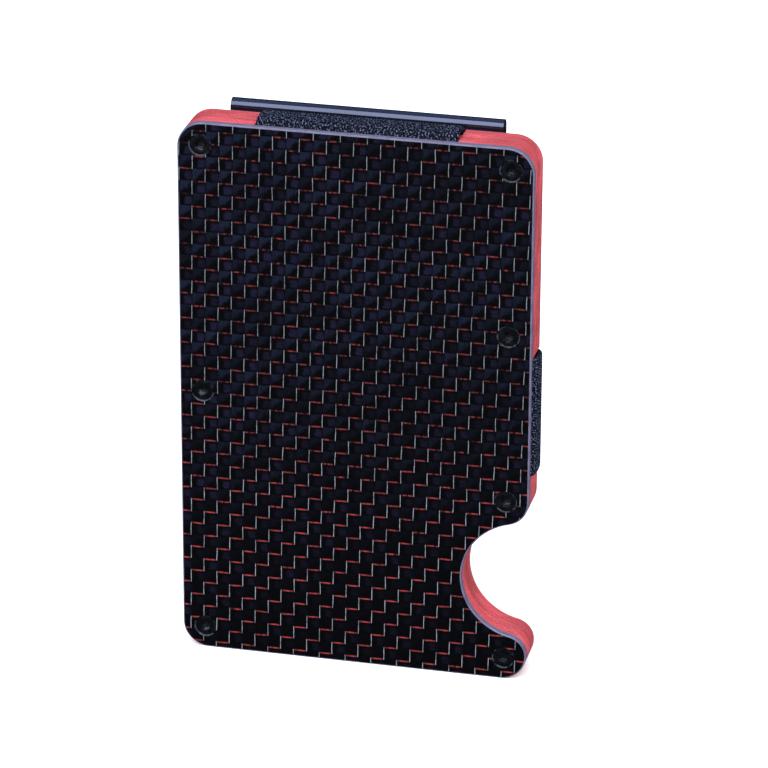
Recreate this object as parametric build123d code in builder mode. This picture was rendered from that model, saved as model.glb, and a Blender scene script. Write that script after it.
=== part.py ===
from build123d import *
import math
import os

# Card wallet with a money clip: two plate halves held together by two elastic bands.
# Frame: X to the right, Z up, the front face towards -Y. The origin is at the middle of the
# bottom edge, on the plane where the two inner plates meet. Millimetres.

# plates
plate_width = 54.0
plate_height = 86.0
corner_radius = 4.0
outer_thickness = 1.0
inner_thickness = 2.75
outer_edge_break = 0.2
rear_outer_inset = 0.6
inner_edge_break = 0.12

# plate screws: countersunk, with a hex socket
screw_inset = 3.5
side_screw_spacing = 26.8
screw_shank_radius = 1.0
screw_head_radius = 1.6
screw_length = 3.0
head_recess = 0.15
socket_across_flats = 1.3
socket_depth = 0.8
thread_clearance = 0.02
screw_tip_chamfer = 0.25
screw_tip_room = 0.15

# thumb notch, open to the right-hand edge
notch_radius = 9.5
notch_centre_inset = 0.7
notch_shoulder_radius = 3.9

# elastic bands, and the wires in their hems
band_thickness = 0.9
band_proud = 0.5
band_bend_radius = 0.35
band_clearance = 0.05
band_side_clearance = 0.15
top_band_width = 30.5
top_band_leg = 27.0
side_band_width = 19.0
side_band_leg = 30.0
hem_radius = 0.95
hem_wire_radius = 0.35
hem_groove_room = 0.1

# spring clip
clip_width = 41.5
clip_thickness = 0.7
clip_bend_radius = 0.5
clip_base_length = 30.0
clip_base_corner_radius = 3.0
clip_tongue_length = 52.0
clip_tongue_width = 30.0
clip_shoulder_drop = 3.0
clip_shoulder_radius = 1.2
clip_tongue_corner_radius = 6.0
clip_contact_clearance = 0.15
clip_lip_radius = 5.0
clip_lip_angle = 35.0
clip_hinge_slit = 12.0
clip_crown_rise = 0.05
clip_screw_spacing_x = 36.0
clip_screw_spacing_z = 18.0
clip_screw_length = 3.2

# places worked out from the sizes above
right_edge = plate_width / 2
mid_height = plate_height / 2
half_depth = inner_thickness + outer_thickness
screw_column = right_edge - screw_inset
lower_side_screw = mid_height - side_screw_spacing / 2
upper_side_screw = mid_height + side_screw_spacing / 2
notch_x = right_edge - notch_centre_inset
notch_z = (screw_inset + lower_side_screw) / 2
hole_radius = screw_shank_radius + thread_clearance
plate_thread_depth = head_recess + screw_length + screw_tip_room - outer_thickness
clip_thread_depth = clip_screw_length + screw_tip_room - clip_thickness - outer_thickness
track_depth = band_thickness + 2 * band_clearance
saddle_depth = band_thickness + band_clearance - band_proud
band_face = inner_thickness - band_clearance
hem_groove_depth = 2 * (hem_radius + band_clearance)
hem_groove_height = 2 * (hem_radius + hem_groove_room)
hem_axis_depth = band_face - hem_radius
clip_mean_radius = clip_bend_radius + clip_thickness / 2
clip_axis_y = half_depth + clip_bend_radius + clip_thickness
clip_axis_z = plate_height + clip_crown_rise
clip_screw_middle = plate_height - clip_base_length / 2

plate_screw_places = [
    (-screw_column, plate_height - screw_inset),
    (-screw_column, mid_height),
    (-screw_column, screw_inset),
    (screw_column, plate_height - screw_inset),
    (screw_column, upper_side_screw),
    (screw_column, lower_side_screw),
    (screw_column, screw_inset),
]
clip_screw_places = [
    (side * clip_screw_spacing_x / 2, clip_screw_middle + level * clip_screw_spacing_z / 2)
    for side in (-1, 1)
    for level in (-1, 1)
]

# planes facing the front, with X to the right and Z up
front_face = Plane.XZ.offset(half_depth)
inner_face = Plane.XZ.offset(inner_thickness)
# the same facing the rear, with X to the left
rear_face = Plane((0, half_depth, 0), x_dir=(-1, 0, 0), z_dir=(0, 1, 0))
rear_inner_face = rear_face.offset(-outer_thickness)
clip_face = rear_face.offset(clip_thickness)

os.makedirs("parts", exist_ok=True)


# ---- plate outline, shared by the four plates ----
# The nose under the notch is as round as the straight edge above the plate's corner allows.
nose_span = notch_z - corner_radius
nose_limit = nose_span**2 - notch_radius**2 + notch_centre_inset**2
nose_limit = nose_limit / (2 * (notch_radius + notch_centre_inset))
nose_radius = min(notch_shoulder_radius, 0.98 * nose_limit)

with BuildSketch() as plate_outline:
    with Locations((0, mid_height)):
        RectangleRounded(plate_width, plate_height, corner_radius)
    with Locations((notch_x, notch_z)):
        Circle(notch_radius, mode=Mode.SUBTRACT)
    on_edge = plate_outline.vertices().filter_by_position(Axis.X, right_edge - 0.01, right_edge + 0.01)
    shoulder = on_edge.filter_by_position(Axis.Y, notch_z, notch_z + notch_radius)
    fillet(shoulder, notch_shoulder_radius)
    on_edge = plate_outline.vertices().filter_by_position(Axis.X, right_edge - 0.01, right_edge + 0.01)
    nose = on_edge.filter_by_position(Axis.Y, notch_z - notch_radius, notch_z)
    fillet(nose, nose_radius)


# ---- outer plates ----
with BuildPart() as front_outer_plate:
    with BuildSketch(front_face):
        add(plate_outline.sketch)
    extrude(amount=-outer_thickness)
    chamfer(front_outer_plate.faces().sort_by(Axis.Y)[0].edges(), outer_edge_break)
    with Locations(front_face):
        with Locations(*plate_screw_places):
            CounterSinkHole(hole_radius, screw_head_radius + head_recess, outer_thickness, 90)

# the rear one is a little smaller all round, so the red plate frames it
with BuildSketch() as rear_outline:
    offset(plate_outline.sketch, amount=-rear_outer_inset)

with BuildPart() as rear_plate_blank:
    with BuildSketch(front_face):
        add(rear_outline.sketch)
    extrude(amount=-outer_thickness)
    chamfer(rear_plate_blank.faces().sort_by(Axis.Y)[0].edges(), outer_edge_break)
    with Locations(front_face):
        with Locations(*plate_screw_places):
            CounterSinkHole(hole_radius, screw_head_radius + head_recess, outer_thickness, 90)

with BuildPart() as rear_outer_plate:
    mirror(rear_plate_blank.part, about=Plane.XZ)
    with Locations(rear_face):
        with Locations(*clip_screw_places):
            Hole(hole_radius, outer_thickness)


# ---- inner plates, with the tracks, saddles and hem grooves of the bands ----
top_track_width = top_band_width + 2 * band_side_clearance
side_track_width = side_band_width + 2 * band_side_clearance
top_hem_z = plate_height - top_band_leg
side_hem_x = right_edge - side_band_leg

with BuildPart() as front_inner_plate:
    with BuildSketch(inner_face):
        add(plate_outline.sketch)
    extrude(amount=-inner_thickness)
    chamfer(front_inner_plate.faces().sort_by(Axis.Y)[-1].edges(), inner_edge_break)
    with BuildSketch(inner_face):
        with Locations((0, plate_height)):
            Rectangle(top_track_width, 2 * saddle_depth)
        with Locations((right_edge, mid_height)):
            Rectangle(2 * saddle_depth, side_track_width)
    extrude(amount=-inner_thickness, mode=Mode.SUBTRACT)
    with BuildSketch(inner_face):
        with Locations((0, (plate_height + top_hem_z) / 2)):
            Rectangle(top_track_width, top_band_leg)
        with Locations(((right_edge + side_hem_x) / 2, mid_height)):
            Rectangle(side_band_leg, side_track_width)
    extrude(amount=-track_depth, mode=Mode.SUBTRACT)
    with BuildSketch(inner_face):
        with Locations((0, top_hem_z)):
            Rectangle(top_track_width, hem_groove_height)
        with Locations((side_hem_x, mid_height)):
            Rectangle(hem_groove_height, side_track_width)
    extrude(amount=-hem_groove_depth, mode=Mode.SUBTRACT)
    floor_edges = front_inner_plate.edges().filter_by_position(
        Axis.Y, track_depth - inner_thickness - 0.01, track_depth - inner_thickness + 0.01
    )
    top_lip = floor_edges.filter_by(Axis.X).sort_by(Axis.Z)[-1]
    side_lip = floor_edges.filter_by(Axis.Z).sort_by(Axis.X)[-1]
    fillet([top_lip, side_lip], band_bend_radius - band_clearance)
    with Locations(inner_face):
        with Locations(*plate_screw_places):
            Hole(hole_radius, plate_thread_depth)

with BuildPart() as rear_inner_plate:
    mirror(front_inner_plate.part, about=Plane.XZ)
    with Locations(rear_inner_face):
        with Locations(*clip_screw_places):
            Hole(hole_radius, clip_thread_depth)


# ---- screws: one made along -Z from its head, then set in its places ----
def screw_profile(length):
    """Half section of a countersunk screw in the open sketch, its head's top at the origin."""
    head_height = screw_head_radius - screw_shank_radius
    with BuildLine() as half_section:
        Polyline(
            (0, 0),
            (screw_head_radius, 0),
            (screw_shank_radius, -head_height),
            (screw_shank_radius, screw_tip_chamfer - length),
            (screw_shank_radius - screw_tip_chamfer, -length),
            (0, -length),
            close=True,
        )
    make_face(half_section.edges())


with BuildPart() as plate_screw:
    with BuildSketch(Plane.XZ):
        screw_profile(screw_length)
    revolve(axis=Axis.Z)
    with BuildSketch():
        RegularPolygon(socket_across_flats / 2, 6, major_radius=False)
    extrude(amount=-socket_depth, mode=Mode.SUBTRACT)

with BuildPart() as clip_screw:
    with BuildSketch(Plane.XZ):
        screw_profile(clip_screw_length)
    revolve(axis=Axis.Z)
    with BuildSketch():
        RegularPolygon(socket_across_flats / 2, 6, major_radius=False)
    extrude(amount=-socket_depth, mode=Mode.SUBTRACT)

with BuildPart() as front_plate_screws:
    with Locations(front_face.offset(-head_recess)):
        with Locations(*plate_screw_places):
            add(plate_screw.part)

with BuildPart() as rear_plate_screws:
    mirror(front_plate_screws.part, about=Plane.XZ)

with BuildPart() as clip_screws:
    with Locations(clip_face):
        with Locations(*clip_screw_places):
            add(clip_screw.part)


# ---- elastic bands: a leg in each half's track, over the edge saddles, hems on wires ----
def band_section(crown, leg):
    """Section of a band in the open sketch: depth across, the way out of the edge upwards."""
    foot = crown - band_proud - leg
    outer_radius = band_bend_radius + band_thickness
    with BuildLine() as band_line:
        FilletPolyline(
            (-band_face, foot), (-band_face, crown), (band_face, crown), (band_face, foot),
            radius=outer_radius,
        )
        FilletPolyline(
            (band_thickness - band_face, foot),
            (band_thickness - band_face, crown - band_thickness),
            (band_face - band_thickness, crown - band_thickness),
            (band_face - band_thickness, foot),
            radius=band_bend_radius,
        )
        Line((-band_face, foot), (band_thickness - band_face, foot))
        Line((band_face, foot), (band_face - band_thickness, foot))
    make_face(band_line.edges())
    with Locations((-hem_axis_depth, foot), (hem_axis_depth, foot)):
        Circle(hem_radius)
        Circle(hem_wire_radius, mode=Mode.SUBTRACT)


# depth to the right and the way out of the edge upwards, looking along the band's width
top_band_plane = Plane.YZ
side_band_plane = Plane((0, 0, mid_height), x_dir=(0, 1, 0), z_dir=(0, 0, -1))

with BuildPart() as top_elastic_band:
    with BuildSketch(top_band_plane):
        band_section(plate_height + band_proud, top_band_leg)
    extrude(amount=top_band_width / 2, both=True)

with BuildPart() as side_elastic_band:
    with BuildSketch(side_band_plane):
        band_section(right_edge + band_proud, side_band_leg)
    extrude(amount=side_band_width / 2, both=True)

hem_wires = {
    "top_hem_wire_front": (top_band_plane, -hem_axis_depth, top_hem_z, top_band_width),
    "top_hem_wire_rear": (top_band_plane, hem_axis_depth, top_hem_z, top_band_width),
    "side_hem_wire_front": (side_band_plane, -hem_axis_depth, side_hem_x, side_band_width),
    "side_hem_wire_rear": (side_band_plane, hem_axis_depth, side_hem_x, side_band_width),
}
for wire_name, (plane, depth, reach, length) in hem_wires.items():
    with BuildPart() as hem_wire:
        with BuildSketch(plane):
            with Locations((depth, reach)):
                Circle(hem_wire_radius)
        extrude(amount=length / 2, both=True)
    hem_wire.part.label = wire_name
    export_step(hem_wire.part, f"parts/{wire_name}.step")


# ---- spring clip: the base on the rear plate and the tongue, parted by a slit at the crown ----
tongue_drop = clip_axis_y + clip_bend_radius - half_depth - clip_contact_clearance
tongue_lean = math.degrees(math.asin(tongue_drop / clip_tongue_length))
slit_edge = 90 - clip_hinge_slit / 2

with BuildPart() as clip_base:
    with BuildSketch(Plane.YZ):
        with BuildLine():
            crown = CenterArc((clip_axis_y, clip_axis_z), clip_mean_radius, 180, -slit_edge)
            Line(crown @ 0, (clip_axis_y - clip_mean_radius, plate_height - clip_base_length))
        trace(line_width=clip_thickness)
    extrude(amount=clip_width / 2, both=True)
    with BuildSketch(Plane.XZ):
        with Locations((0, clip_axis_z)):
            RectangleRounded(
                clip_width, 2 * (clip_base_length + clip_crown_rise), clip_base_corner_radius
            )
    extrude(amount=2 * clip_axis_y, both=True, mode=Mode.INTERSECT)
    with Locations(clip_face):
        with Locations(*clip_screw_places):
            CounterSinkHole(hole_radius, screw_head_radius, clip_thickness, 90)

with BuildPart() as clip_tongue:
    with BuildSketch(Plane.YZ):
        with BuildLine():
            crown = CenterArc((clip_axis_y, clip_axis_z), clip_mean_radius, slit_edge, -slit_edge - tongue_lean)
            blade = PolarLine(crown @ 1, clip_tongue_length, direction=crown % 1)
            JernArc(blade @ 1, blade % 1, clip_lip_radius, clip_lip_angle + tongue_lean)
        trace(line_width=clip_thickness)
    extrude(amount=clip_width / 2, both=True)
    tongue_tip = clip_tongue.part.bounding_box().min.Z
    shoulder_z = clip_axis_z - clip_shoulder_drop
    with BuildSketch(Plane.XZ) as tongue_outline:
        with Locations((0, clip_axis_z)):
            Rectangle(clip_width, 2 * clip_shoulder_drop)
        with Locations((0, (clip_axis_z + tongue_tip) / 2)):
            Rectangle(clip_tongue_width, clip_axis_z - tongue_tip)
        fillet(tongue_outline.vertices().group_by(Axis.Y)[0], clip_tongue_corner_radius)
        shoulder_corners = tongue_outline.vertices().filter_by_position(
            Axis.Y, shoulder_z - 0.01, shoulder_z + 0.01
        )
        fillet(shoulder_corners, clip_shoulder_radius)
    extrude(amount=2 * clip_axis_y, both=True, mode=Mode.INTERSECT)


front_outer_plate.part.label = "front_outer_plate"
front_inner_plate.part.label = "front_inner_plate"
rear_inner_plate.part.label = "rear_inner_plate"
rear_outer_plate.part.label = "rear_outer_plate"
front_plate_screws.part.label = "front_plate_screws"
rear_plate_screws.part.label = "rear_plate_screws"
clip_screws.part.label = "clip_screws"
top_elastic_band.part.label = "top_elastic_band"
side_elastic_band.part.label = "side_elastic_band"
clip_base.part.label = "clip_base"
clip_tongue.part.label = "clip_tongue"

export_step(front_outer_plate.part, "parts/front_outer_plate.step")
export_step(front_inner_plate.part, "parts/front_inner_plate.step")
export_step(rear_inner_plate.part, "parts/rear_inner_plate.step")
export_step(rear_outer_plate.part, "parts/rear_outer_plate.step")
export_step(front_plate_screws.part, "parts/front_plate_screws.step")
export_step(rear_plate_screws.part, "parts/rear_plate_screws.step")
export_step(clip_screws.part, "parts/clip_screws.step")
export_step(top_elastic_band.part, "parts/top_elastic_band.step")
export_step(side_elastic_band.part, "parts/side_elastic_band.step")
export_step(clip_base.part, "parts/clip_base.step")
export_step(clip_tongue.part, "parts/clip_tongue.step")
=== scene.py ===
import math

import bmesh
import bpy
from mathutils import Matrix, Vector


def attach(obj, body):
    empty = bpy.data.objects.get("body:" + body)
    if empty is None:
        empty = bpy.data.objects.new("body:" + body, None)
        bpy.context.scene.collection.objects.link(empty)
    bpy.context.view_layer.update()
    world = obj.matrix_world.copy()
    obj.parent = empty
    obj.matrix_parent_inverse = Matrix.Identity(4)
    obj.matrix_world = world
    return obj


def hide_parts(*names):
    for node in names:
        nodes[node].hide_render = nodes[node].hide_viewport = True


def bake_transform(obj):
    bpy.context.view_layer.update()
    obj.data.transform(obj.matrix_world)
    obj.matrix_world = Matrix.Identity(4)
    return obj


# Card wallet with a spring clip behind: looks built round the CAD frame.
# Metres, X to the right, Z up, the front face towards -Y.
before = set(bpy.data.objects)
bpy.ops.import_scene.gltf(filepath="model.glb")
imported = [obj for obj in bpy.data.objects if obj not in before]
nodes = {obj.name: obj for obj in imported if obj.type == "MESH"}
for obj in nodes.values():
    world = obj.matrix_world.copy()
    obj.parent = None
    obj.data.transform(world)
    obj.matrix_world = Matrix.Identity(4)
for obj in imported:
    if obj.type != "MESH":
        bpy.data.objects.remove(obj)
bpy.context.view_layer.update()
mm = 0.001
print("frame loaded:", len(nodes), "nodes")


# small helpers for modelling

def clearSelection():
    if bpy.context.mode != "OBJECT":
        bpy.ops.object.mode_set(mode="OBJECT")
    bpy.ops.object.select_all(action="DESELECT")


def makeActive(piece):
    clearSelection()
    piece.select_set(True)
    bpy.context.view_layer.objects.active = piece


def namedPiece(name):
    piece = bpy.context.object
    piece.name = name
    piece.data.name = name
    return piece


def editPiece(piece):
    makeActive(piece)
    bpy.ops.object.mode_set(mode="EDIT")


def leaveEdit():
    bpy.ops.object.mode_set(mode="OBJECT")


def selectWhere(piece, test, kind="VERT"):
    # picks vertices, edges or faces by their place, in edit mode
    bpy.ops.mesh.select_mode(type=kind)
    bpy.ops.mesh.select_all(action="DESELECT")
    shape = bmesh.from_edit_mesh(piece.data)
    if kind == "VERT":
        for vertex in shape.verts:
            if test(vertex.co):
                vertex.select_set(True)
    elif kind == "EDGE":
        for edge in shape.edges:
            if test(edge.verts[0].co) and test(edge.verts[1].co):
                edge.select_set(True)
    else:
        for face in shape.faces:
            if test(face.calc_center_median()):
                face.select_set(True)
    shape.select_flush_mode()
    bmesh.update_edit_mesh(piece.data)


def near(value, target, room=1e-6):
    return abs(value - target) < room


def extrudeBy(vector, steps=1):
    for step in range(steps):
        bpy.ops.mesh.extrude_edges_move(TRANSFORM_OT_translate={"value": Vector(vector) / steps})


def applyModifier(piece, kind, **settings):
    makeActive(piece)
    modifier = piece.modifiers.new(kind.lower(), kind)
    for key, value in settings.items():
        setattr(modifier, key, value)
    bpy.ops.object.modifier_apply(modifier=modifier.name)


def cutWith(piece, cutter, operation="DIFFERENCE"):
    applyModifier(piece, "BOOLEAN", operation=operation, object=cutter, solver="EXACT")
    bpy.data.objects.remove(cutter)


def cleanMesh(piece):
    # doubles merged, faces turned outwards
    editPiece(piece)
    bpy.ops.mesh.select_all(action="SELECT")
    bpy.ops.mesh.remove_doubles(threshold=1e-7)
    bpy.ops.mesh.normals_make_consistent(inside=False)
    leaveEdit()


def smoothByAngle(piece, degrees=35):
    makeActive(piece)
    bpy.ops.object.shade_smooth_by_angle(angle=math.radians(degrees))


def applyPlace(piece):
    makeActive(piece)
    bpy.ops.object.transform_apply(location=True, rotation=True, scale=True)


def joinPieces(pieces, name):
    clearSelection()
    for piece in pieces:
        piece.select_set(True)
    bpy.context.view_layer.objects.active = pieces[0]
    bpy.ops.object.join()
    return namedPiece(name)


def copyPiece(piece):
    twin = piece.copy()
    twin.data = piece.data.copy()
    bpy.context.scene.collection.objects.link(twin)
    return twin


# small helpers for materials

class Shader:
    def __init__(self, name):
        self.material = bpy.data.materials.new(name)
        self.material.use_nodes = True
        self.tree = self.material.node_tree
        self.tree.nodes.clear()
        self.place = self.add("ShaderNodeTexCoord").outputs["Object"]

    def add(self, kind, inputs=None, **settings):
        node = self.tree.nodes.new(kind)
        for key, value in settings.items():
            setattr(node, key, value)
        for key, value in (inputs or {}).items():
            if isinstance(value, bpy.types.NodeSocket):
                self.tree.links.new(value, node.inputs[key])
            else:
                node.inputs[key].default_value = value
        return node

    def math(self, operation, first, second=0.0):
        return self.add("ShaderNodeMath", {0: first, 1: second}, operation=operation).outputs[0]

    def times(self, first, *others):
        for other in others:
            first = self.math("MULTIPLY", first, other)
        return first

    def less(self, first, second):
        return self.math("SUBTRACT", first, second)

    def axis(self, place, name):
        return self.add("ShaderNodeSeparateXYZ", {0: place}).outputs[name]

    def vector(self, operation, first, second=(0, 0, 0), out=0):
        return self.add("ShaderNodeVectorMath", {0: first, 1: second}, operation=operation).outputs[out]

    def dot(self, first, second):
        return self.vector("DOT_PRODUCT", first, second, "Value")

    def ramp(self, value, low, high, lowOut=0.0, highOut=1.0):
        # smooth step from low to high
        inputs = {"Value": value, "From Min": low, "From Max": high, "To Min": lowOut, "To Max": highOut}
        return self.add("ShaderNodeMapRange", inputs, interpolation_type="SMOOTHSTEP").outputs["Result"]

    def noise(self, place, scale, detail=2.0, roughness=0.5):
        inputs = {"Vector": place, "Scale": scale, "Detail": detail, "Roughness": roughness}
        return self.add("ShaderNodeTexNoise", inputs, noise_dimensions="3D").outputs["Fac"]

    def stretched(self, scale):
        return self.vector("MULTIPLY", self.place, scale)

    def mix(self, amount, first, second):
        node = self.add("ShaderNodeMix", data_type="RGBA", blend_type="MIX", clamp_factor=True)
        for key, value in ((0, amount), (6, first), (7, second)):
            if isinstance(value, bpy.types.NodeSocket):
                self.tree.links.new(value, node.inputs[key])
            elif key == 0:
                node.inputs[0].default_value = value
            else:
                node.inputs[key].default_value = (*value, 1.0)
        return node.outputs[2]

    def bump(self, height, distance, strength=1.0, normal=None):
        inputs = {"Height": height, "Distance": distance, "Strength": strength}
        if normal is not None:
            inputs["Normal"] = normal
        return self.add("ShaderNodeBump", inputs).outputs["Normal"]

    def finish(self, color, roughness, normal=None, **constants):
        principled = self.add("ShaderNodeBsdfPrincipled")
        for key, value in (("Base Color", color), ("Roughness", roughness), ("Normal", normal)):
            if isinstance(value, bpy.types.NodeSocket):
                self.tree.links.new(value, principled.inputs[key])
            elif value is not None:
                principled.inputs[key].default_value = (*value, 1.0) if key == "Base Color" else value
        for key, value in constants.items():
            principled.inputs[key.replace("_", " ")].default_value = value
        self.add("ShaderNodeOutputMaterial", {"Surface": principled.outputs[0]})
        return self.material


def tint(red, green, blue):
    # a colour given as seen on screen, turned into light
    def light(value):
        value = value / 255
        return value / 12.92 if value <= 0.04045 else ((value + 0.055) / 1.055) ** 2.4
    return (light(red), light(green), light(blue))


def dress(piece, material):
    piece.data.materials.clear()
    piece.data.materials.append(material)


# the plate screws, across and up
plateScrewPlaces = [
    (-23.5 * mm, 82.5 * mm), (-23.5 * mm, 43.0 * mm), (-23.5 * mm, 3.5 * mm), (23.5 * mm, 82.5 * mm),
    (23.5 * mm, 56.4 * mm), (23.5 * mm, 29.6 * mm), (23.5 * mm, 3.5 * mm),
]


# woven carbon: a checker of flat tows, with a silver and a red thread laid in

carbon = {
    "cellWidth": 2.044 * mm,
    "cellHeight": 1.993 * mm,
    "lean": 0.0146,  # of the columns from upright
    "slope": 0.0044,  # of the rows from level
    "middleHeight": 43.0 * mm,
    "startAcross": 0.704 * mm,
    "startUp": 0.119 * mm,
    "wander": 0.10,  # of a thread from its line, in cells
    "silverPlace": (0.01, 0.52),  # line and middle, in cells
    "silverHalf": 0.022,
    "silverSoft": 0.020,
    "silverReach": 0.53,
    "redPlace": (0.015, 0.50),
    "redHalf": 0.052,
    "redSoft": 0.03,
    "redReach": 0.44,
    "threadsFade": (6 * mm, 58 * mm),  # heights between which the threads dim
    "silverTop": 0.70,
    "redTop": 0.50,
    # painted light: the painted sheen grows from the foot to the top and is brighter on the left
    "paintedSheenGrows": (5 * mm, 70 * mm),
    "paintedSlantSheenGrows": (5 * mm, 62 * mm),
    "paintedSheenFoot": 0.40,
    "paintedSlantSheenFoot": 0.12,
    "paintedSheenSides": (1.1, 0.72),
    "halfWidth": 27 * mm,
    "fibreScale": 5200.0,
    "fibreTone": (0.35, 1.35),
    "cellTone": (0.45, 1.35),
    "threadTone": (0.45, 1.1),
    "crown": 0.03 * mm,
    "countersink": (1.85 * mm, 1.95 * mm),
    "black": tint(3, 3, 5),
    # painted sheen colours: the glare of the lights on the two kinds of tow, painted into the colour
    "paintedIndigoSheen": tint(17, 15, 37),
    "paintedSteelBlueSheen": tint(14, 20, 38),
    "silver": tint(126, 132, 142),
    "red": tint(132, 44, 47),
    # cut faces: bare laminate tones, lightened by a painted highlight
    "cutEdgeAndHighlight": tint(94, 92, 116),
    "cutPly": tint(58, 56, 74),
    "countersinkLaminateAndHighlight": tint(44, 52, 62),
}


def wovenCarbon():
    s = Shader("wovenCarbon")
    c = carbon
    across = (1 / c["cellWidth"], 0, -c["lean"] / c["cellWidth"])
    acrossStart = (c["startAcross"] + c["lean"] * c["middleHeight"]) / c["cellWidth"]
    u = s.math("ADD", s.dot(s.place, across), acrossStart)
    up = (-c["slope"] / c["cellHeight"], 0, 1 / c["cellHeight"])
    v = s.math("ADD", s.dot(s.place, up), (c["startUp"] - c["middleHeight"]) / c["cellHeight"])

    # a slow wander keeps the threads from being ruled lines
    wander = s.noise(s.place, 420.0, 1.0)
    u = s.math("ADD", u, s.times(s.less(wander, 0.5), c["wander"]))
    wander = s.noise(s.vector("ADD", s.place, (0.3, 0.1, 0.2)), 380.0, 1.0)
    v = s.math("ADD", v, s.times(s.less(wander, 0.5), c["wander"]))

    def fromCentre(value, centre, index):
        # distance from the nearest cell centre, counting only every other cell
        t = s.less(s.less(value, centre), s.math("FLOORED_MODULO", index, 2.0))
        t = s.times(t, 0.5)
        return s.times(s.less(t, s.math("ROUND", t)), 2.0)

    def within(value, half, soft):
        return s.ramp(s.math("ABSOLUTE", value), half - soft, half + soft, 1.0, 0.0)

    # silver thread, on the left edge of every other cell
    line, middle = c["silverPlace"]
    column = s.math("ROUND", s.less(u, line))
    side = s.less(s.less(u, line), column)
    silver = s.times(within(side, c["silverHalf"], c["silverSoft"]),
                     within(fromCentre(v, middle, column), c["silverReach"], 0.05))

    # red thread, on the top edge of the same cells, broken and thin at its ends
    line, middle = c["redPlace"]
    level = s.math("ROUND", s.less(v, line))
    side = s.less(s.less(v, line), level)
    along = fromCentre(u, middle, s.less(level, 1.0))
    red = s.times(within(side, c["redHalf"], c["redSoft"]), within(along, c["redReach"], 0.06),
                  within(along, 0.38, 0.30))
    height = s.axis(s.place, "Z")
    lowDown = s.ramp(height, *c["threadsFade"], 1.0, 0.0)
    broken = s.noise(s.stretched((1.0, 1.0, 0.3)), 1700.0, 1.0)
    broken = s.ramp(s.math("ADD", broken, s.times(lowDown, 0.24)), 0.42, 0.60, 0.10, 1.0)
    red = s.times(red, broken, s.ramp(lowDown, 0.0, 1.0, c["redTop"], 1.0))
    silver = s.times(silver, s.ramp(lowDown, 0.0, 1.0, c["silverTop"], 1.0))

    # painted sheen of the flat tows that lie across: a highlight painted into the colour in place of their
    # reflection of the lights
    row = s.math("FLOOR", v)
    blotch = s.times(s.less(s.noise(s.place, 1500.0, 2.0), 0.5), 0.7)
    off = s.math("ADD", fromCentre(u, 0.66, row), s.times(blotch, 0.6))
    part = s.less(v, row)
    paintedFlatSheen = s.times(s.ramp(off, -0.30, -0.10), s.ramp(off, 0.10, 0.52, 1.0, 0.0),
                        s.ramp(part, 0.08, 0.28), s.ramp(part, 0.62, 0.90, 1.0, 0.0))

    # painted sheen of the tows that run up, over a slanting line, also a highlight painted into the colour
    shifted = s.less(v, 0.08)
    upRow = s.math("FLOOR", shifted)
    upOff = fromCentre(u, 0.50, s.math("ADD", upRow, 1.0))
    upPart = s.less(shifted, upRow)
    slant = s.less(s.math("ADD", upPart, blotch), s.times(upOff, 0.86))
    paintedSlantSheen = s.times(s.ramp(slant, 0.20, 0.75), within(upOff, 0.42, 0.08),
                         s.ramp(upPart, 0.90, 1.0, 1.0, 0.0))

    # fibres within a tow, and tows that differ; the painted sheen is also made brighter towards the top
    # and the left, as painted light
    flatFibres = s.noise(s.stretched((0.15, 0.15, 2.2)), c["fibreScale"], 2.0)
    upFibres = s.noise(s.stretched((2.2, 0.15, 0.15)), c["fibreScale"], 2.0)
    cell = s.add("ShaderNodeCombineXYZ", {0: s.math("FLOOR", u), 1: row, 2: 0.0}).outputs[0]
    chance = s.add("ShaderNodeTexWhiteNoise", {"Vector": cell}, noise_dimensions="3D").outputs["Value"]
    patches = s.ramp(s.noise(s.place, 90.0, 2.0), 0.3, 0.7, 0.7, 1.2)
    strength = s.times(s.ramp(chance, 0.0, 1.0, *c["cellTone"]), patches,
                       s.ramp(height, *c["paintedSheenGrows"], c["paintedSheenFoot"], 1.0),
                       s.ramp(s.axis(s.place, "X"), -c["halfWidth"], c["halfWidth"], *c["paintedSheenSides"]))
    paintedFlatSheen = s.times(paintedFlatSheen, s.ramp(flatFibres, 0.30, 0.75, *c["fibreTone"]), strength)
    paintedSlantSheen = s.times(paintedSlantSheen, s.ramp(upFibres, 0.30, 0.75, *c["fibreTone"]), strength,
                         s.ramp(height, *c["paintedSlantSheenGrows"], c["paintedSlantSheenFoot"], 1.0))

    # the painted sheen laid over the black weave
    color = s.mix(paintedFlatSheen, c["black"], c["paintedIndigoSheen"])
    color = s.mix(paintedSlantSheen, color, c["paintedSteelBlueSheen"])
    threadTone = s.ramp(s.noise(s.place, 900.0, 3.0, 0.7), 0.32, 0.62, *c["threadTone"])
    color = s.mix(s.times(silver, threadTone), color, c["silver"])
    color = s.mix(s.times(red, threadTone), color, c["red"])

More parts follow.
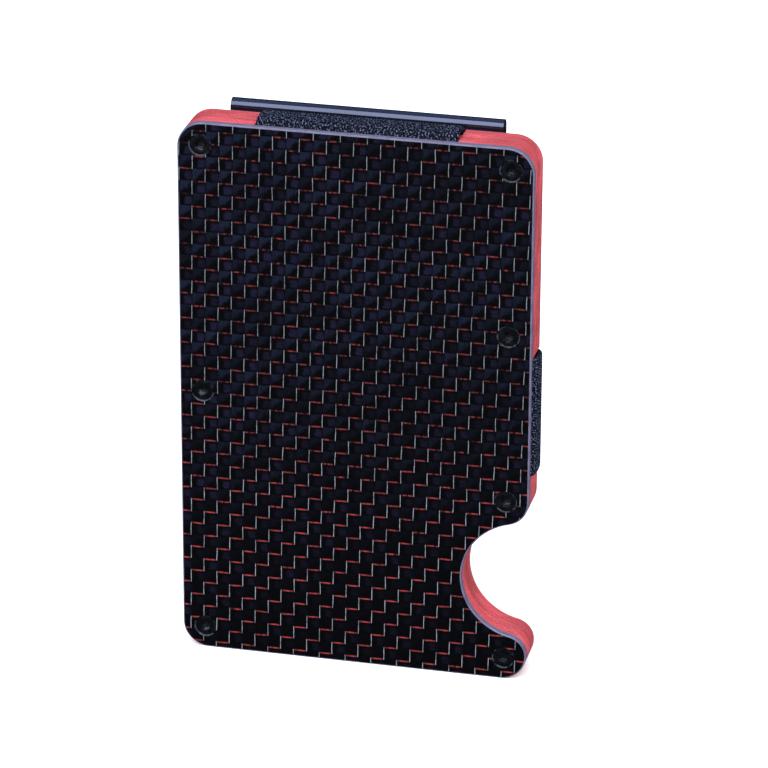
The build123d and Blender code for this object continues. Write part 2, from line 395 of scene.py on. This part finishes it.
    # cut edges show the bare laminate, painted a lighter grey as a highlight of the light they catch;
    # countersinks get a mottled lighter ring, bare laminate with the same painted highlight
    facing = s.axis(s.add("ShaderNodeTexCoord").outputs["Normal"], "Y")
    cut = s.ramp(s.math("ABSOLUTE", facing), 0.80, 0.90, 1.0, 0.0)
    plies = s.noise(s.stretched((0.4, 3.0, 0.4)), 1600.0, 2.0)
    edgeLaminateAndHighlight = s.mix(s.ramp(plies, 0.35, 0.70, 0.0, 0.6), c["cutEdgeAndHighlight"], c["cutPly"])
    nearest = None
    for x, z in plateScrewPlaces:
        flat = s.vector("MULTIPLY", s.vector("SUBTRACT", s.place, (x, 0, z)), (1, 0, 1))
        away = s.vector("LENGTH", flat, out="Value")
        nearest = away if nearest is None else s.math("MINIMUM", nearest, away)
    mottledRingHighlight = s.mix(s.ramp(s.noise(s.place, 1300.0, 2.0), 0.42, 0.58), c["black"], c["countersinkLaminateAndHighlight"])
    edgeLaminateAndHighlight = s.mix(s.ramp(nearest, *c["countersink"], 1.0, 0.0), edgeLaminateAndHighlight, mottledRingHighlight)
    color = s.mix(cut, color, edgeLaminateAndHighlight)

    # tows crown slightly, the lacquer over them is smooth
    crown = s.times(s.math("SINE", s.times(u, math.pi)), s.math("SINE", s.times(v, math.pi)))
    normal = s.bump(s.times(s.math("ABSOLUTE", crown), c["crown"]), 1.0, 0.5)
    roughness = s.ramp(cut, 0.0, 1.0, 0.42, 0.55)
    return s.finish(color, roughness, normal, Specular_IOR_Level=0.10, Coat_Weight=0.30,
                    Coat_Roughness=0.06, Coat_IOR=1.45)


# red anodised aluminium, milled and blasted

anodised = {
    "light": tint(224, 92, 102),
    "mid": tint(186, 74, 80),
    "dark": tint(138, 52, 54),
    # painted shade for the groove between the two halves
    "paintedSeamShade": tint(120, 40, 42),
    "paintedSeamShadeHalf": (0.10 * mm, 0.17 * mm),
    "paintedSeamShadeWaver": 0.05 * mm,
    "blast": 0.01 * mm,
    "milling": 0.006 * mm,
}


def redAnodised():
    s = Shader("redAnodised")
    a = anodised
    grain = s.noise(s.place, 5200.0, 3.0, 0.65)
    coarse = s.noise(s.stretched((0.5, 1.4, 0.7)), 260.0, 3.0, 0.55)
    streaks = s.noise(s.stretched((0.08, 2.2, 0.08)), 2400.0, 2.0)
    tone = s.math("ADD", s.times(coarse, 0.75), s.times(grain, 0.35))
    color = s.mix(s.ramp(tone, 0.40, 0.62), a["light"], a["mid"])
    color = s.mix(s.ramp(s.math("ADD", grain, streaks), 0.96, 1.20, 0.0, 0.85), color, a["dark"])
    # painted shade: a dark line where the two halves meet, in place of the shadow in the groove between
    # them
    depth = s.math("ABSOLUTE", s.axis(s.place, "Y"))
    depth = s.math("ADD", depth, s.times(grain, a["paintedSeamShadeWaver"]))
    color = s.mix(s.ramp(depth, *a["paintedSeamShadeHalf"], 0.85, 0.0), color, a["paintedSeamShade"])
    normal = s.bump(s.times(grain, a["blast"]), 1.0, 0.8)
    normal = s.bump(s.times(streaks, a["milling"]), 1.0, 0.6, normal)
    return s.finish(color, s.ramp(grain, 0.3, 0.7, 0.38, 0.55), normal, Metallic=0.25,
                    Specular_IOR_Level=0.5)


# polished wire in the hems

def brightWire():
    s = Shader("brightWire")
    scratches = s.noise(s.place, 3000.0, 2.0)
    color = s.mix(scratches, tint(196, 198, 202), tint(226, 228, 232))
    return s.finish(color, s.ramp(scratches, 0.3, 0.7, 0.18, 0.32), None, Metallic=1.0)


carbonMaterial = wovenCarbon()
redMaterial = redAnodised()
wireMaterial = brightWire()
for name in ("front_outer_plate", "rear_outer_plate"):
    dress(nodes[name], carbonMaterial)
for name in ("front_inner_plate", "rear_inner_plate"):
    dress(nodes[name], redMaterial)
for name in nodes:
    if name.endswith(("wire_front", "wire_rear")):
        dress(nodes[name], wireMaterial)
print("plates and wires dressed")


# elastic straps: a knitted strap over the edge, a leg in each half, a sleeve round each hem wire

strap = {
    "thickness": 0.90 * mm,
    "proud": 0.50 * mm,
    "depth": 2.70 * mm,
    "innerBend": 0.35 * mm,
    "hemRadius": 0.92 * mm,
    "hemDepth": 1.75 * mm,
    "wireRoom": 0.37 * mm,
    "stitchAlong": 0.40 * mm,
    "stitchAcross": 0.44 * mm,
    "stitchRound": 0.7,
    "stitchSwing": 0.45,
    "relief": 0.10 * mm,
    "columnStep": 0.105 * mm,
    "legRows": 12,
    "bendRows": 6,
    "bendSteps": 16,
    "crownRows": 28,
    "bendMargin": 0.6 * mm,
    "sleeveLap": 0.5 * mm,
    "sleeveRim": 0.15 * mm,
    "selvedge": 0.75 * mm,
    "innerSwell": 0.8,
    "stretchHalf": 1.4 * mm,
    "fibreHeight": 0.03 * mm,
    "stitchHollows": tint(5, 5, 8),
    "yarn": tint(20, 20, 36),
    "fleck": tint(80, 90, 116),
    "shade": tint(14, 14, 22),
}
topStrap = {"width": 30.5 * mm, "leg": 27.0 * mm, "bulge": 0.75 * mm, "edge": 86.0 * mm}
sideStrap = {"width": 19.0 * mm, "leg": 30.0 * mm, "bulge": 0.35 * mm, "edge": 27.0 * mm,
             "height": 43.0 * mm}


def strapBend():
    # radius of the bend at the middle of the thickness, and where its centre lies
    k = strap
    half = k["thickness"] / 2
    middle = k["innerBend"] + half
    return middle, k["depth"] - half - middle, k["proud"] - half - middle


def strapPlace(depth, rise):
    # arc length along the strap, the middle of its thickness, the way out, and how far out
    middle, bendDepth, bendRise = strapBend()
    side = 1 if depth >= 0 else -1
    away = abs(depth)
    quarter = middle * math.pi / 2
    if rise < bendRise:
        s = side * (bendDepth + quarter + bendRise - rise)
        return s, (side * (bendDepth + middle), rise), (side, 0.0), away - bendDepth - middle
    if away <= bendDepth:
        return depth, (depth, bendRise + middle), (0.0, 1.0), rise - bendRise - middle
    out = Vector((away - bendDepth, rise - bendRise))
    reach = max(out.length, 1e-9)
    turn = math.atan2(out.x, out.y)
    way = (side * out.x / reach, out.y / reach)
    centre = (side * (bendDepth + middle * out.x / reach), bendRise + middle * out.y / reach)
    return side * (bendDepth + middle * turn), centre, way, reach - middle


def knitHeight(across, s):
    # interlocked stitches: rows of small loops, each row half a stitch on
    k = strap
    row = s / k["stitchAlong"]
    shift = 0.5 * (math.floor(row) % 2)
    column = across / k["stitchAcross"] + shift
    loop = 1 - k["stitchSwing"] + k["stitchSwing"] * math.cos(2 * math.pi * column)
    return abs(math.sin(math.pi * row)) ** k["stitchRound"] * loop


def makeStrap(name, width, leg, bulge):
    k = strap
    middle, bendDepth, bendRise = strapBend()
    legFoot = -leg + k["sleeveLap"]
    coarseTop = bendRise - k["bendMargin"]
    columns = int(round(width / k["columnStep"]))

    # the front leg, then up, over the edge and down the rear leg
    clearSelection()
    bpy.ops.mesh.primitive_grid_add(x_subdivisions=columns, y_subdivisions=k["legRows"], size=1.0)
    piece = namedPiece(name)
    piece.scale = (width, coarseTop - legFoot, 1)
    piece.rotation_euler = (math.pi / 2, 0, 0)
    piece.location = (0, -bendDepth - middle, (coarseTop + legFoot) / 2)
    applyPlace(piece)
    editPiece(piece)
    selectWhere(piece, lambda co: near(co.z, coarseTop), "EDGE")
    extrudeBy((0, 0, bendRise - coarseTop), k["bendRows"])
    quarterTurn = {"steps": k["bendSteps"], "angle": math.pi / 2, "axis": (1, 0, 0)}
    bpy.ops.mesh.spin(center=(0, -bendDepth, bendRise), **quarterTurn)
    extrudeBy((0, 2 * bendDepth, 0), k["crownRows"])
    bpy.ops.mesh.spin(center=(0, bendDepth, bendRise), **quarterTurn)
    extrudeBy((0, 0, coarseTop - bendRise), k["bendRows"])
    extrudeBy((0, 0, legFoot - coarseTop), k["legRows"])
    leaveEdit()
    cleanMesh(piece)
    applyModifier(piece, "SOLIDIFY", thickness=k["thickness"], offset=0.0, use_even_offset=True)
    cleanMesh(piece)

    # round selvedges, the crown swollen by its stretch, and the knit raised on the outside
    half = k["thickness"] / 2
    legStart = bendDepth + middle * math.pi / 2
    for vertex in piece.data.vertices:
        s, centre, way, out = strapPlace(vertex.co.y, vertex.co.z)
        past = (abs(vertex.co.x) - (width / 2 - k["selvedge"])) / k["selvedge"]
        keep = math.sqrt(max(1 - min(max(past, 0), 1) ** 2, 0.04))
        lift = 0.0
        if out > 0:
            lift = (knitHeight(vertex.co.x, s) - 1.0) * k["relief"]
        swell = bulge * max(1 - (s / legStart) ** 2, 0) if abs(s) < legStart else 0
        if out > 0:
            reach = half * keep + lift * keep + swell
        else:
            reach = -half * keep + lift * keep + swell * k["innerSwell"]
        vertex.co.y = centre[0] + way[0] * reach
        vertex.co.z = centre[1] + way[1] * reach

    # a sewn sleeve at each leg's foot, with room for the hem wire
    sleeves = []
    for side in (-1, 1):
        lying = {"rotation": (0, math.pi / 2, 0), "location": (0, side * k["hemDepth"], -leg)}
        clearSelection()
        bpy.ops.mesh.primitive_cylinder_add(vertices=40, radius=k["hemRadius"], depth=width, **lying)
        sleeve = namedPiece(name + "Sleeve")
        applyPlace(sleeve)
        editPiece(sleeve)
        selectWhere(sleeve, lambda co: near(abs(co.x), width / 2), "FACE")
        bpy.ops.mesh.bevel(offset=k["sleeveRim"], segments=3, affect="EDGES")
        leaveEdit()
        clearSelection()
        bpy.ops.mesh.primitive_cylinder_add(vertices=32, radius=k["wireRoom"], depth=width * 1.1, **lying)
        cutWith(sleeve, bpy.context.object)
        sleeves.append(sleeve)
    piece = joinPieces([piece] + sleeves, name)
    smoothByAngle(piece, 50)
    return piece


def storeKnit(piece):
    # where a point lies along and across the strap, in millimetres, for the yarn's pattern
    layer = piece.data.attributes.new("knit", "FLOAT_VECTOR", "POINT")
    for index, vertex in enumerate(piece.data.vertices):
        s, centre, way, out = strapPlace(vertex.co.y, vertex.co.z)
        height = knitHeight(vertex.co.x, s)
        layer.data[index].vector = (vertex.co.x / mm, s / mm, height)


def blackKnit():
    s = Shader("blackKnit")
    k = strap
    knit = s.add("ShaderNodeAttribute", attribute_name="knit").outputs["Vector"]
    height = s.axis(knit, "Z")
    flat = s.vector("MULTIPLY", knit, (1, 1, 0))
    fibres = s.noise(s.vector("MULTIPLY", flat, (3.0, 9.0, 0)), 2.4, 3.0, 0.6)
    flecks = s.noise(s.vector("MULTIPLY", flat, (1.0, 1.25, 0)), 4.2, 1.0, 0.5)
    fine = s.noise(s.vector("ADD", flat, (7.0, 3.0, 0)), 9.0, 1.0, 0.5)
    slow = s.noise(flat, 0.5, 2.0)
    # darker in the low parts between the stitches, lighter on the raised loops
    color = s.mix(s.ramp(height, 0.25, 0.95), k["stitchHollows"], k["yarn"])
    raised = s.math("ADD", flecks, s.times(s.math("ADD", height, fine), 0.07))
    color = s.mix(s.ramp(raised, 0.60, 0.72, 0.0, 0.95), color, k["fleck"])
    color = s.mix(s.ramp(slow, 0.40, 0.72, 0.0, 0.4), color, k["shade"])
    normal = s.bump(s.times(fibres, k["fibreHeight"]), 1.0, 0.8)
    return s.finish(color, s.ramp(fibres, 0.3, 0.7, 0.70, 0.90), normal, Specular_IOR_Level=0.05)


knitMaterial = blackKnit()

topBand = makeStrap("topBand", topStrap["width"], topStrap["leg"], topStrap["bulge"])
storeKnit(topBand)
topBand.location = (0, 0, topStrap["edge"])
applyPlace(topBand)

sideBand = makeStrap("sideBand", sideStrap["width"], sideStrap["leg"], sideStrap["bulge"])
storeKnit(sideBand)
sideBand.rotation_euler = (0, math.pi / 2, 0)
sideBand.location = (sideStrap["edge"], 0, sideStrap["height"])
applyPlace(sideBand)

for band, node in ((topBand, "top_elastic_band"), (sideBand, "side_elastic_band")):
    dress(band, knitMaterial)
    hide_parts(node)
    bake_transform(band)
print("straps done:", len(topBand.data.vertices), len(sideBand.data.vertices))


# spring clip: a base strip screwed to the rear plate, and a rolled bend that runs into the tongue

clip = {
    "width": 41.5 * mm,
    "thickness": 0.70 * mm,
    "axisY": 4.95 * mm,
    "axisZ": 86.05 * mm,
    "bend": 0.85 * mm,
    "baseFoot": 56.0 * mm,
    "baseTop": 85.60 * mm,
    "baseCorner": 3.0 * mm,
    "tongueLength": 52.0 * mm,
    "tongueWidth": 30.0 * mm,
    "shoulderDrop": 3.0 * mm,
    "shoulderRadius": 1.2 * mm,
    "tipRadius": 6.0 * mm,
    "lipRadius": 5.0 * mm,
    "lipAngle": math.radians(35.0),
    "lean": math.asin(1.55 / 52.0),  # the tongue comes in 1.55 mm over its length
    "rollSteps": 48,
    "tongueRows": 26,
    "lipSteps": 12,
    "screwAcross": 18.0 * mm,
    "screwLow": 62.0 * mm,
    "screwHigh": 80.0 * mm,
    "holeRadius": 1.04 * mm,
    "drillDepth": 1.4 * mm,
    "sinkDepth": 0.6 * mm,
    "sinkOver": 0.2 * mm,
    "trimAbove": 8 * mm,
    "trimDepth": 20 * mm,
    "rim": 0.09 * mm,
    "flexStart": 4.45 * mm,
    "flexRun": Vector((0, 1.0 * mm, -0.1 * mm)),
    "dark": tint(44, 48, 66),
    "light": tint(60, 66, 90),
    "grain": 0.002 * mm,
}
clipScrewPlaces = [(x, z) for x in (-clip["screwAcross"], clip["screwAcross"])
                   for z in (clip["screwLow"], clip["screwHigh"])]


def makeOutline(name, topZ, shoulderZ, tipZ, fullWidth, lowWidth, shoulderRadius, tipRadius):
    # a prism with the outline of a sheet seen from behind, to trim the sheet with
    clearSelection()
    bpy.ops.mesh.primitive_plane_add(size=1.0)
    prism = namedPiece(name)
    prism.scale = (fullWidth, topZ - shoulderZ, 1)
    prism.rotation_euler = (math.pi / 2, 0, 0)
    prism.location = (0, 0, (topZ + shoulderZ) / 2)
    applyPlace(prism)
    editPiece(prism)
    if lowWidth < fullWidth:
        for side in (-1, 1):
            bpy.ops.mesh.select_all(action="SELECT")
            bpy.ops.mesh.bisect(plane_co=(side * lowWidth / 2, 0, 0), plane_no=(1, 0, 0))
    selectWhere(prism, lambda co: near(co.z, shoulderZ) and abs(co.x) < lowWidth / 2 + 1e-6, "EDGE")
    extrudeBy((0, 0, tipZ - shoulderZ))
    bpy.ops.mesh.select_mode(type="FACE")
    bpy.ops.mesh.select_all(action="SELECT")
    bpy.ops.mesh.dissolve_faces()
    if lowWidth < fullWidth:
        selectWhere(prism, lambda co: near(co.z, shoulderZ))
        bpy.ops.mesh.bevel(offset=shoulderRadius, segments=8, affect="VERTICES")
    selectWhere(prism, lambda co: near(co.z, tipZ))
    bpy.ops.mesh.bevel(offset=tipRadius, segments=16, affect="VERTICES")
    bpy.ops.mesh.select_mode(type="FACE")
    bpy.ops.mesh.select_all(action="SELECT")
    bpy.ops.mesh.extrude_region_move(TRANSFORM_OT_translate={"value": (0, clip["trimDepth"], 0)})
    bpy.ops.mesh.select_all(action="SELECT")
    bpy.ops.mesh.normals_make_consistent(inside=False)
    leaveEdit()
    return prism


def makeClipSpring():
    # the roll, the tongue down the back and the lip at its foot, then trimmed to its outline
    c = clip
    startZ = c["baseTop"]
    clearSelection()
    bpy.ops.mesh.primitive_plane_add(size=1.0)
    piece = namedPiece("clipSpring")
    piece.scale = (c["width"], c["axisZ"] - startZ, 1)
    piece.rotation_euler = (math.pi / 2, 0, 0)
    piece.location = (0, c["axisY"] - c["bend"], (c["axisZ"] + startZ) / 2)
    applyPlace(piece)
    editPiece(piece)
    selectWhere(piece, lambda co: near(co.z, c["axisZ"]), "EDGE")
    turn = math.pi - c["lean"]
    bpy.ops.mesh.spin(steps=c["rollSteps"], angle=turn, center=(0, c["axisY"], c["axisZ"]), axis=(1, 0, 0))
    down = Vector((0, -math.sin(c["lean"]), -math.cos(c["lean"])))
    extrudeBy(down * c["tongueLength"], c["tongueRows"])
    endY = c["axisY"] + c["bend"] * math.cos(c["lean"]) + down.y * c["tongueLength"]
    endZ = c["axisZ"] - c["bend"] * math.sin(c["lean"]) + down.z * c["tongueLength"]
    lipY = endY + c["lipRadius"] * math.cos(c["lean"])
    lipZ = endZ - c["lipRadius"] * math.sin(c["lean"])
    turn = -c["lipAngle"] - c["lean"]
    bpy.ops.mesh.spin(steps=c["lipSteps"], angle=turn, center=(0, lipY, lipZ), axis=(1, 0, 0))
    leaveEdit()
    cleanMesh(piece)
    applyModifier(piece, "SOLIDIFY", thickness=c["thickness"], offset=0.0, use_even_offset=True)
    cleanMesh(piece)
    tipZ = min(vertex.co.z for vertex in piece.data.vertices)
    outline = makeOutline("springOutline", c["axisZ"] + c["trimAbove"], c["axisZ"] - c["shoulderDrop"],
                          tipZ, c["width"], c["tongueWidth"], c["shoulderRadius"], c["tipRadius"])
    cutWith(piece, outline, "INTERSECT")
    return piece


def makeClipBase():
    c = clip
    clearSelection()
    bpy.ops.mesh.primitive_plane_add(size=1.0)
    piece = namedPiece("clipBase")
    piece.scale = (c["width"], c["baseTop"] - c["baseFoot"], 1)
    piece.rotation_euler = (math.pi / 2, 0, 0)
    middle = c["axisY"] - c["bend"]
    piece.location = (0, middle, (c["baseTop"] + c["baseFoot"]) / 2)
    applyPlace(piece)
    editPiece(piece)
    selectWhere(piece, lambda co: near(co.z, c["baseFoot"]))
    bpy.ops.mesh.bevel(offset=c["baseCorner"], segments=12, affect="VERTICES")
    leaveEdit()
    applyModifier(piece, "SOLIDIFY", thickness=c["thickness"], offset=0.0)
    cleanMesh(piece)

    # one countersink cutter, copied to the four places and used in one cut
    clearSelection()
    bpy.ops.mesh.primitive_cylinder_add(vertices=48, radius=c["holeRadius"], depth=c["drillDepth"],
                                        location=(0, 0, -c["sinkDepth"] - c["drillDepth"] / 2))
    cutter = namedPiece("countersink")
    applyPlace(cutter)
    editPiece(cutter)
    selectWhere(cutter, lambda co: near(co.z, -c["sinkDepth"]), "FACE")
    rise = c["sinkDepth"] + c["sinkOver"]
    bpy.ops.mesh.extrude_region_move(TRANSFORM_OT_translate={"value": (0, 0, rise)})
    grow = (c["holeRadius"] + rise) / c["holeRadius"]
    bpy.ops.transform.resize(value=(grow, grow, 1))
    leaveEdit()
    cutters = []
    outerFace = middle + c["thickness"] / 2
    facing = Matrix.Rotation(-math.pi / 2, 4, "X")
    for x, z in clipScrewPlaces:
        twin = copyPiece(cutter)
        twin.data.transform(Matrix.Translation((x, outerFace, z)) @ facing)
        cutters.append(twin)
    bpy.data.objects.remove(cutter)
    cutWith(piece, joinPieces(cutters, "countersinks"))
    return piece


def springSteel():
    s = Shader("blackSpringSteel")
    c = clip
    fine = s.noise(s.stretched((0.2, 1.0, 1.6)), 1500.0, 3.0, 0.6)
    slow = s.noise(s.stretched((0.5, 1.0, 1.0)), 120.0, 2.0)
    color = s.mix(slow, c["dark"], c["light"])
    normal = s.bump(s.times(fine, c["grain"]), 1.0, 0.5)
    roughness = s.math("ADD", s.ramp(fine, 0.3, 0.7, 0.12, 0.18), s.ramp(slow, 0.3, 0.8, 0.0, 0.06))
    return s.finish(color, roughness, normal, Metallic=0.9, Specular_IOR_Level=0.5, Coat_Weight=0.5,
                    Coat_Roughness=0.06)


springMaterial = springSteel()
clipSpring = makeClipSpring()
clipBase = makeClipBase()
for piece in (clipSpring, clipBase):
    applyModifier(piece, "BEVEL", width=clip["rim"], segments=2, limit_method="ANGLE",
                  angle_limit=math.radians(50), use_clamp_overlap=True)
    smoothByAngle(piece, 35)
    dress(piece, springMaterial)
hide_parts("clip_base")
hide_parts("clip_tongue")
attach(clipBase, "rear_half")
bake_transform(clipSpring)
print("clip done:", len(clipSpring.data.vertices), len(clipBase.data.vertices))


# countersunk socket screws: one modelled, then copied to its places

screw = {
    "headRadius": 1.60 * mm,
    "shankRadius": 1.00 * mm,
    "acrossFlats": 1.30 * mm,
    "socketDepth": 0.80 * mm,
    "plateLength": 3.0 * mm,
    "clipLength": 3.2 * mm,
    "tipChamfer": 0.22 * mm,
    "dimpleShare": 0.46,  # its radius, of the width across flats
    "dimpleDepth": 0.30 * mm,
    "dimpleDown": 0.14 * mm,
    "rim": 0.07 * mm,
    "socketRim": 0.16 * mm,
    "socketReach": 0.62,
    "recess": 0.15 * mm,
    "faceY": 3.75 * mm,
    "clipFaceY": 4.45 * mm,
    "firstTurn": 17,
    "nextTurn": 41,
    "dark": tint(88, 92, 98),
    "light": tint(118, 122, 128),
    "grain": 0.004 * mm,
}


def makeScrew(length):
    # upright, with the top of its head at the origin
    k = screw
    headHeight = k["headRadius"] - k["shankRadius"]
    shank = length - headHeight
    clearSelection()
    bpy.ops.mesh.primitive_cylinder_add(vertices=48, radius=k["shankRadius"], depth=shank,
                                        location=(0, 0, -headHeight - shank / 2))
    piece = namedPiece("screw")
    applyPlace(piece)
    editPiece(piece)
    selectWhere(piece, lambda co: near(co.z, -headHeight), "FACE")
    bpy.ops.mesh.extrude_region_move(TRANSFORM_OT_translate={"value": (0, 0, headHeight)})
    grow = k["headRadius"] / k["shankRadius"]
    bpy.ops.transform.resize(value=(grow, grow, 1))
    selectWhere(piece, lambda co: near(co.z, -length), "FACE")
    bpy.ops.mesh.bevel(offset=k["tipChamfer"], segments=1, affect="EDGES")
    selectWhere(piece, lambda co: near(co.z, 0), "FACE")
    bpy.ops.mesh.bevel(offset=k["rim"], segments=3, affect="EDGES")
    leaveEdit()
    clearSelection()
    bpy.ops.mesh.primitive_cylinder_add(vertices=6, radius=k["acrossFlats"] / math.sqrt(3),
                                        depth=2 * k["socketDepth"])
    cutWith(piece, bpy.context.object)
    # a drilled dimple under the socket's flats
    clearSelection()
    bpy.ops.mesh.primitive_cone_add(vertices=24, radius1=0.0, radius2=k["acrossFlats"] * k["dimpleShare"],
                                    depth=k["dimpleDepth"],
                                    location=(0, 0, -k["socketDepth"] - k["dimpleDown"]))
    cutWith(piece, bpy.context.object)
    editPiece(piece)
    reach = k["acrossFlats"] * k["socketReach"]
    selectWhere(piece, lambda co: near(co.z, 0) and co.xy.length < reach, "EDGE")
    bpy.ops.mesh.bevel(offset=k["socketRim"], segments=2, affect="EDGES")
    leaveEdit()
    return piece


def placeScrews(model, name, places, faceY, side):
    # side is -1 for heads that face the front, 1 for the rear; no two sockets stand alike
    copies = []
    for index, (x, z) in enumerate(places):
        twin = copyPiece(model)
        turn = Matrix.Rotation(math.radians(screw["firstTurn"] + screw["nextTurn"] * index), 4, "Z")
        face = Matrix.Rotation(-side * math.pi / 2, 4, "X")
        twin.data.transform(Matrix.Translation((x, side * faceY, z)) @ face @ turn)
        copies.append(twin)
    piece = joinPieces(copies, name)
    smoothByAngle(piece, 30)
    return piece


def blackScrewSteel():
    s = Shader("blackScrewSteel")
    grain = s.noise(s.place, 4200.0, 3.0, 0.6)
    patches = s.noise(s.place, 900.0, 2.0)
    color = s.mix(s.ramp(patches, 0.35, 0.7), screw["dark"], screw["light"])
    normal = s.bump(s.times(grain, screw["grain"]), 1.0, 0.6)
    return s.finish(color, s.ramp(grain, 0.3, 0.7, 0.20, 0.34), normal, Metallic=1.0)


screwMaterial = blackScrewSteel()
plateScrew = makeScrew(screw["plateLength"])
clipScrew = makeScrew(screw["clipLength"])
seat = screw["faceY"] - screw["recess"]
frontScrews = placeScrews(plateScrew, "frontScrews", plateScrewPlaces, seat, -1)
rearScrews = placeScrews(plateScrew, "rearScrews", plateScrewPlaces, seat, 1)
clipHoldScrews = placeScrews(clipScrew, "clipHoldScrews", clipScrewPlaces, screw["clipFaceY"], 1)
bpy.data.objects.remove(plateScrew)
bpy.data.objects.remove(clipScrew)
for piece, node, body in ((frontScrews, "front_plate_screws", "front_half"),
                          (rearScrews, "rear_plate_screws", "rear_half"),
                          (clipHoldScrews, "clip_screws", "rear_half")):
    dress(piece, screwMaterial)
    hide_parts(node)
    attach(piece, body)
print("screws done:", len(frontScrews.data.vertices))


# camera

view = {
    "place": (0.145853, -0.611334, 0.311803),
    "yaw": math.radians(13.0815),
    "pitch": math.radians(23.0054),
    "roll": math.radians(0.2739),
    "lens": 212.37,
    "sensor": 36,
    "clip": (0.01, 50),
}
cameraData = bpy.data.cameras.new("camera")
cameraData.lens = view["lens"]
cameraData.sensor_width = view["sensor"]
cameraData.clip_start, cameraData.clip_end = view["clip"]
camera = bpy.data.objects.new("camera", cameraData)
bpy.context.scene.collection.objects.link(camera)
camera.matrix_world = (Matrix.Translation(view["place"])
                       @ Matrix.Rotation(view["yaw"], 4, "Z")
                       @ Matrix.Rotation(math.pi / 2 - view["pitch"], 4, "X")
                       @ Matrix.Rotation(view["roll"], 4, "Z"))
bpy.context.scene.camera = camera


# floor and light

studio = {
    "floorSize": 8.0,
    "floorDrop": 0.02 * mm,
    "floor": (0.93, 0.93, 0.935),
    "floorCloud": 0.985,
    "room": (0.020, 0.022, 0.030),
    "backdrop": (0.76, 0.76, 0.765),
    "aim": Vector((0, 0, 0.06)),
}

clearSelection()
bpy.ops.mesh.primitive_plane_add(size=studio["floorSize"], location=(0, 0, -studio["floorDrop"]))
floor = namedPiece("floor")
applyPlace(floor)
s = Shader("paleFloor")
cloudy = s.noise(s.place, 6.0, 2.0)
clouded = tuple(value * studio["floorCloud"] for value in studio["floor"])
floorColor = s.mix(cloudy, studio["floor"], clouded)
dress(floor, s.finish(floorColor, 0.9, None, Specular_IOR_Level=0.1))
floor.visible_glossy = False

# a pale room all round, which polished surfaces mirror only dimly
world = bpy.data.worlds.new("room")
world.use_nodes = True
tree = world.node_tree
tree.nodes.clear()
seen = tree.nodes.new("ShaderNodeBackground")
seen.inputs["Color"].default_value = (*studio["backdrop"], 1.0)
mirrored = tree.nodes.new("ShaderNodeBackground")
mirrored.inputs["Color"].default_value = (*studio["room"], 1.0)
which = tree.nodes.new("ShaderNodeLightPath")
blend = tree.nodes.new("ShaderNodeMixShader")
output = tree.nodes.new("ShaderNodeOutputWorld")
tree.links.new(which.outputs["Is Glossy Ray"], blend.inputs[0])
tree.links.new(seen.outputs[0], blend.inputs[1])
tree.links.new(mirrored.outputs[0], blend.inputs[2])
tree.links.new(blend.outputs[0], output.inputs[0])
bpy.context.scene.world = world


# azimuth from the front, positive to the right; glow is the brightness of a light's face
softBoxes = [
    {"name": "keyBox", "azimuth": -6, "elevation": 50, "distance": 1.0, "size": (1.5, 1.05),
     "glow": 4.4, "color": (0.93, 0.96, 1.0), "mirrored": True},
    {"name": "rightFill", "azimuth": 82, "elevation": 25, "distance": 1.1, "size": (0.9, 0.9),
     "glow": 1.5, "color": (1, 0.99, 0.98), "mirrored": False},
    {"name": "blueBack", "azimuth": 180, "elevation": 68, "distance": 1.1, "size": (1.8, 1.0),
     "glow": 0.75, "color": (0.42, 0.60, 1.0), "mirrored": True},
    {"name": "rearFill", "azimuth": 180, "elevation": 40, "distance": 1.2, "size": (1.2, 0.9),
     "glow": 0.7, "color": (1, 1, 1), "mirrored": False},
]
for box in softBoxes:
    width, height = box["size"]
    data = bpy.data.lights.new(box["name"], "AREA")
    data.shape = "RECTANGLE"
    data.size, data.size_y = width, height
    data.energy = box["glow"] * math.pi * width * height
    data.color = box["color"]
    light = bpy.data.objects.new(box["name"], data)
    bpy.context.scene.collection.objects.link(light)
    turn, lift = math.radians(box["azimuth"]), math.radians(box["elevation"])
    way = Vector((math.sin(turn) * math.cos(lift), -math.cos(turn) * math.cos(lift), math.sin(lift)))
    light.location = studio["aim"] + way * box["distance"]
    light.rotation_euler = way.to_track_quat("Z", "Y").to_euler()
    light.visible_glossy = box["mirrored"]
bpy.context.scene.view_settings.view_transform = "Standard"
bpy.context.scene.view_settings.look = "None"
print("camera, floor and light set")
